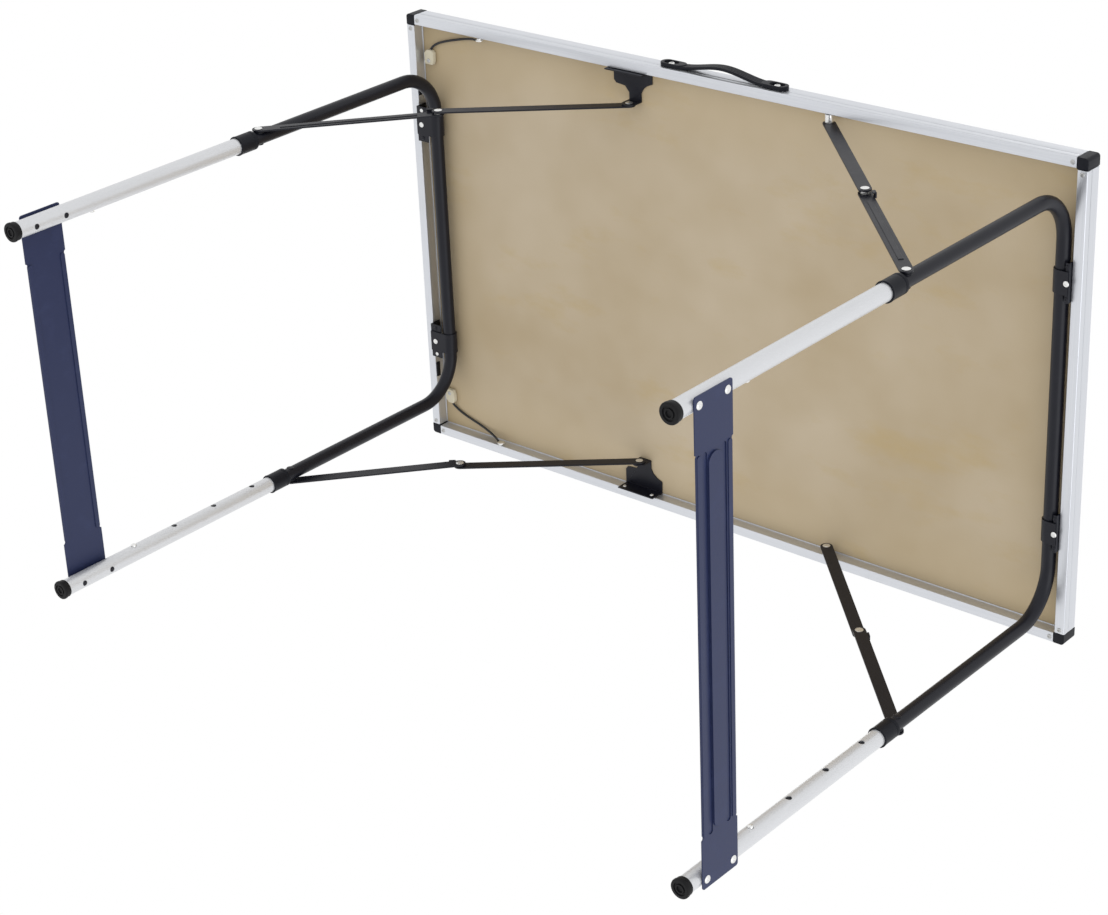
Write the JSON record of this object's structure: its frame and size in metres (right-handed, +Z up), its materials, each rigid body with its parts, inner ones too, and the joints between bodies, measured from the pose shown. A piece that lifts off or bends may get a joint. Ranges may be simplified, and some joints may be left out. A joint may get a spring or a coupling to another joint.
{
  "type": "folding table",
  "caption": "Rectangular folding table with a framed board top, hinged U-shaped leg frames, folding braces, telescopic feet and a carry handle on one long side.",
  "frame": {"origin": "on the floor, under the centre of the whole table's bounding box, legs open at their lowest height", "axes": "+X along the tabletop towards the wider leg frame, +Y across it away from the handle, +Z up"},
  "size_m": [1, 0.613, 0.722],
  "materials": {
    "board_tan": "tan sealed board, slightly mottled, satin",
    "rail_aluminium": "satin anodised extrusion",
    "black_coat": "black powder coat with a faint blue sheen",
    "silver_coat": "silver-grey painted steel tube, satin",
    "black_plastic": "moulded black plastic",
    "zinc": "bright zinc-plated rivets and buttons",
    "cream_plastic": "cream moulded plastic",
    "cord_black": "black elastic cord"
  },
  "bodies": {
    "tabletop": {"top_board": "board_tan", "handle_strap": "black_plastic", "long_rail_front": "rail_aluminium", "brace_bracket_front": "black_coat", "rail_stud_front": "zinc", "cord_clip_front": "cream_plastic", "retaining_cord_front": "cord_black", "cord_rivet_front": "zinc", "long_rail_back": "rail_aluminium", "brace_bracket_back": "black_coat", "rail_stud_back": "zinc", "cord_clip_back": "cream_plastic", "retaining_cord_back": "cord_black", "cord_rivet_back": "zinc", "end_rail_left": "rail_aluminium", "corner_left_front": "black_plastic", "clamp_base_left_front": "black_coat", "clamp_strap_left_front": "black_coat", "corner_left_back": "black_plastic", "clamp_base_left_back": "black_coat", "clamp_strap_left_back": "black_coat", "end_rail_right": "rail_aluminium", "corner_right_front": "black_plastic", "clamp_base_right_front": "black_coat", "clamp_strap_right_front": "black_coat", "corner_right_back": "black_plastic", "clamp_base_right_back": "black_coat", "clamp_strap_right_back": "black_coat"},
    "left_leg_frame": {"leg_frame_left": "black_coat"},
    "left_lower_legs": {"cross_panel_left": "black_coat", "lower_tube_left_front": "silver_coat", "collar_left_front": "black_plastic", "foot_cap_left_front": "black_plastic", "lower_tube_left_back": "silver_coat", "collar_left_back": "black_plastic", "foot_cap_left_back": "black_plastic"},
    "left_front_button": {"snap_button_left_front": "zinc"},
    "left_front_leg_link": {"leg_link_left_front": "black_coat"},
    "left_front_top_link": {"top_link_left_front": "black_coat", "knee_rivet_left_front": "zinc"},
    "left_back_button": {"snap_button_left_back": "zinc"},
    "left_back_leg_link": {"leg_link_left_back": "black_coat"},
    "left_back_top_link": {"top_link_left_back": "black_coat", "knee_rivet_left_back": "zinc"},
    "right_leg_frame": {"leg_frame_right": "black_coat"},
    "right_lower_legs": {"cross_panel_right": "black_coat", "lower_tube_right_front": "silver_coat", "collar_right_front": "black_plastic", "foot_cap_right_front": "black_plastic", "lower_tube_right_back": "silver_coat", "collar_right_back": "black_plastic", "foot_cap_right_back": "black_plastic"},
    "right_front_button": {"snap_button_right_front": "zinc"},
    "right_front_leg_link": {"leg_link_right_front": "black_coat"},
    "right_front_top_link": {"top_link_right_front": "black_coat", "knee_rivet_right_front": "zinc"},
    "right_back_button": {"snap_button_right_back": "zinc"},
    "right_back_leg_link": {"leg_link_right_back": "black_coat"},
    "right_back_top_link": {"top_link_right_back": "black_coat", "knee_rivet_right_back": "zinc"}
  },
  "joints": [
    {"name": "left_fold", "type": "hinge", "parent": "tabletop", "child": "left_leg_frame", "pos_m": [-0.4605, 0.0065, 0.699], "axis": [0, -1, 0], "range_deg": [0, 90]},
    {"name": "left_height", "type": "slide", "parent": "left_leg_frame", "child": "left_lower_legs", "axis": [0, 0, -1], "range_m": [0, 0.1995]},
    {"name": "left_front_button_press", "type": "slide", "parent": "left_lower_legs", "child": "left_front_button", "axis": [0, -1, 0], "range_m": [0, 0.003], "stiffness_N_per_m": 250, "springref_m": -0.004},
    {"name": "left_front_leg_link_turn", "type": "hinge", "parent": "left_leg_frame", "child": "left_front_leg_link", "pos_m": [-0.4605, -0.222, 0.386], "axis": [0, -1, 0], "range_deg": [0, 41.14]},
    {"name": "left_front_top_link_turn", "type": "hinge", "parent": "tabletop", "child": "left_front_top_link", "pos_m": [-0.1335, -0.222, 0.699], "axis": [0, -1, 0], "range_deg": [-38.94, 0]},
    {"name": "left_back_button_press", "type": "slide", "parent": "left_lower_legs", "child": "left_back_button", "axis": [0, 1, 0], "range_m": [0, 0.003], "stiffness_N_per_m": 250, "springref_m": -0.004},
    {"name": "left_back_leg_link_turn", "type": "hinge", "parent": "left_leg_frame", "child": "left_back_leg_link", "pos_m": [-0.4605, 0.235, 0.386], "axis": [0, -1, 0], "range_deg": [0, 41.14]},
    {"name": "left_back_top_link_turn", "type": "hinge", "parent": "tabletop", "child": "left_back_top_link", "pos_m": [-0.1335, 0.235, 0.699], "axis": [0, -1, 0], "range_deg": [-38.94, 0]},
    {"name": "right_fold", "type": "hinge", "parent": "tabletop", "child": "right_leg_frame", "pos_m": [0.4735, 0.0065, 0.699], "axis": [0, 1, 0], "range_deg": [0, 85]},
    {"name": "right_height", "type": "slide", "parent": "right_leg_frame", "child": "right_lower_legs", "axis": [0, 0, -1], "range_m": [0, 0.1995]},
    {"name": "right_front_button_press", "type": "slide", "parent": "right_lower_legs", "child": "right_front_button", "axis": [0, -1, 0], "range_m": [0, 0.003], "stiffness_N_per_m": 250, "springref_m": -0.004},
    {"name": "right_front_leg_link_turn", "type": "hinge", "parent": "right_leg_frame", "child": "right_front_leg_link", "pos_m": [0.4735, -0.2531, 0.386], "axis": [0, 1, 0], "range_deg": [0, 43.8]},
    {"name": "right_front_top_link_turn", "type": "hinge", "parent": "tabletop", "child": "right_front_top_link", "pos_m": [0.1623, -0.2531, 0.699], "axis": [0, 1, 0], "range_deg": [-44.13, 0]},
    {"name": "right_back_button_press", "type": "slide", "parent": "right_lower_legs", "child": "right_back_button", "axis": [0, 1, 0], "range_m": [0, 0.003], "stiffness_N_per_m": 250, "springref_m": -0.004},
    {"name": "right_back_leg_link_turn", "type": "hinge", "parent": "right_leg_frame", "child": "right_back_leg_link", "pos_m": [0.4735, 0.2661, 0.386], "axis": [0, 1, 0], "range_deg": [0, 43.8]},
    {"name": "right_back_top_link_turn", "type": "hinge", "parent": "tabletop", "child": "right_back_top_link", "pos_m": [0.1623, 0.2661, 0.699], "axis": [0, 1, 0], "range_deg": [-44.13, 0]}
  ],
  "couplings": [
    {"joint": "left_front_leg_link_turn", "follows": "left_fold", "ratio": 0.45711},
    {"joint": "left_front_top_link_turn", "follows": "left_fold", "ratio": -0.43266},
    {"joint": "left_back_leg_link_turn", "follows": "left_fold", "ratio": 0.45711},
    {"joint": "left_back_top_link_turn", "follows": "left_fold", "ratio": -0.43266},
    {"joint": "right_front_leg_link_turn", "follows": "right_fold", "ratio": 0.51531},
    {"joint": "right_front_top_link_turn", "follows": "right_fold", "ratio": -0.51912},
    {"joint": "right_back_leg_link_turn", "follows": "right_fold", "ratio": 0.51531},
    {"joint": "right_back_top_link_turn", "follows": "right_fold", "ratio": -0.51912}
  ]
}
